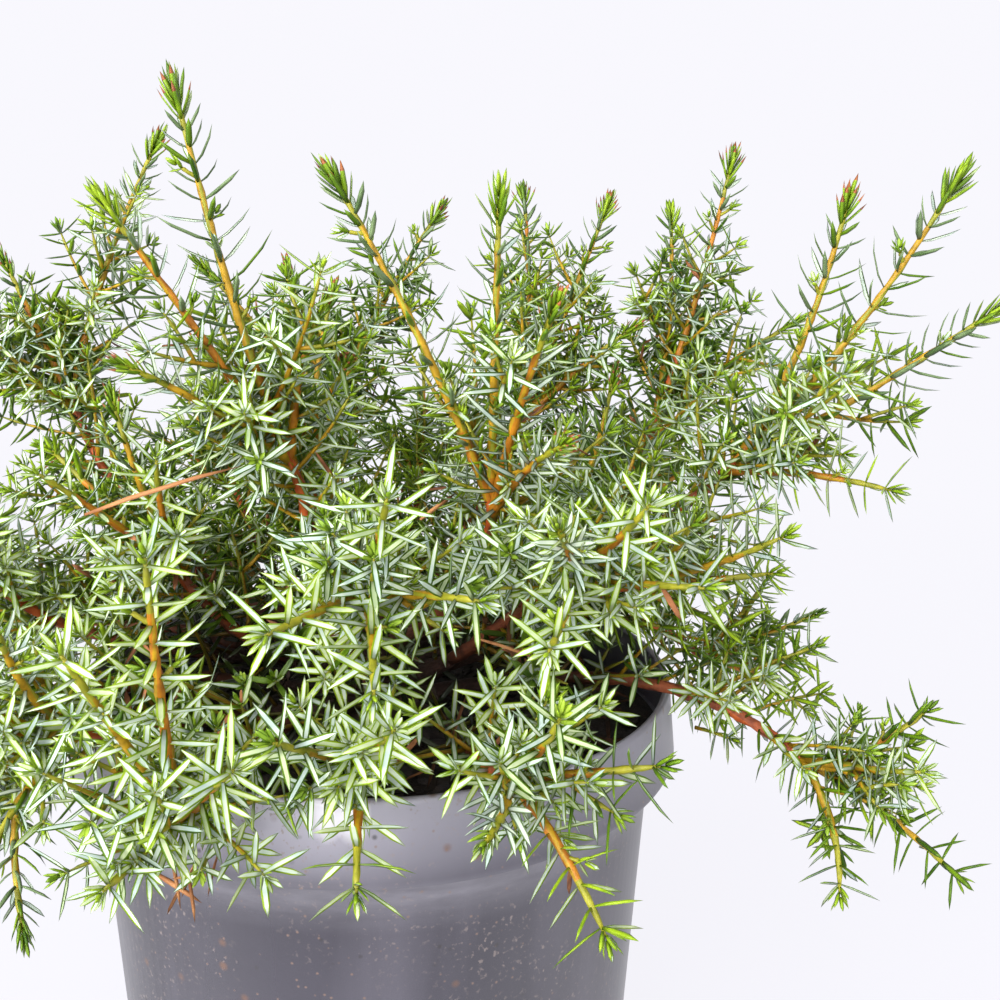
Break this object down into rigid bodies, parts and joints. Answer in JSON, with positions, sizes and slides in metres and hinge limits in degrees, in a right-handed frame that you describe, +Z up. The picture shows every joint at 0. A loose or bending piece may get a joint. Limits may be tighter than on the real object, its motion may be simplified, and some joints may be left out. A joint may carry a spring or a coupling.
{
  "type": "potted silver carpet common juniper",
  "caption": "Young low spreading juniper shrub with silver-backed needles and arching red-brown boughs, growing in a round grey plastic nursery pot.",
  "frame": {"origin": "centre of the pot's flat underside", "axes": "+Z up along the pot's axis; -Y is the front, the side seen in the picture; +X to the viewer's right"},
  "size_m": [0.2818, 0.264, 0.2562],
  "materials": {
    "pot_plastic": "satin blue-grey moulded plastic with dust and water marks",
    "potting_soil": "dark peat with bark chips",
    "bark": "red-brown flaking bark",
    "needles": "silver-banded green needles on yellow to orange shoots"
  },
  "bodies": {
    "root": {"pot": "pot_plastic", "soil": "potting_soil", "stem": "bark", "bough_left_tall": "bark", "bough_centre_pair": "bark", "bough_right_fan": "bark", "bough_back_left": "bark", "bough_left_back": "bark", "bough_back_mid": "bark", "bough_back_right": "bark", "bough_centre_top": "bark", "bough_right_mid": "bark", "bough_centre_star": "bark", "bough_front_high": "bark", "bough_centre_left": "bark", "bough_centre_right": "bark", "bough_left_far": "bark", "bough_back_far_left": "bark", "bough_back_far_mid": "bark", "bough_back_far_right": "bark", "bough_right_low": "bark", "bough_front_right": "bark", "bough_front_mid": "bark", "bough_left_front": "bark", "bough_left_out": "bark", "bough_left_low": "bark", "bough_left_rear_low": "bark", "bough_back_low_left": "bark", "bough_back_low_mid": "bark", "bough_back_low_right": "bark", "bough_right_back": "bark", "left_tall": "needles", "centre_pair": "needles", "right_fan": "needles", "back_left": "needles", "left_back": "needles", "back_mid": "needles", "back_right": "needles", "centre_top": "needles", "right_mid": "needles", "centre_star": "needles", "front_high": "needles", "centre_left": "needles", "centre_right": "needles", "left_far": "needles", "back_far_left": "needles", "back_far_mid": "needles", "back_far_right": "needles", "right_low": "needles", "front_right": "needles", "front_mid": "needles", "left_front": "needles", "left_out": "needles", "left_low": "needles", "left_rear_low": "needles", "back_low_left": "needles", "back_low_mid": "needles", "back_low_right": "needles", "right_back": "needles"}
  },
  "joints": []
}
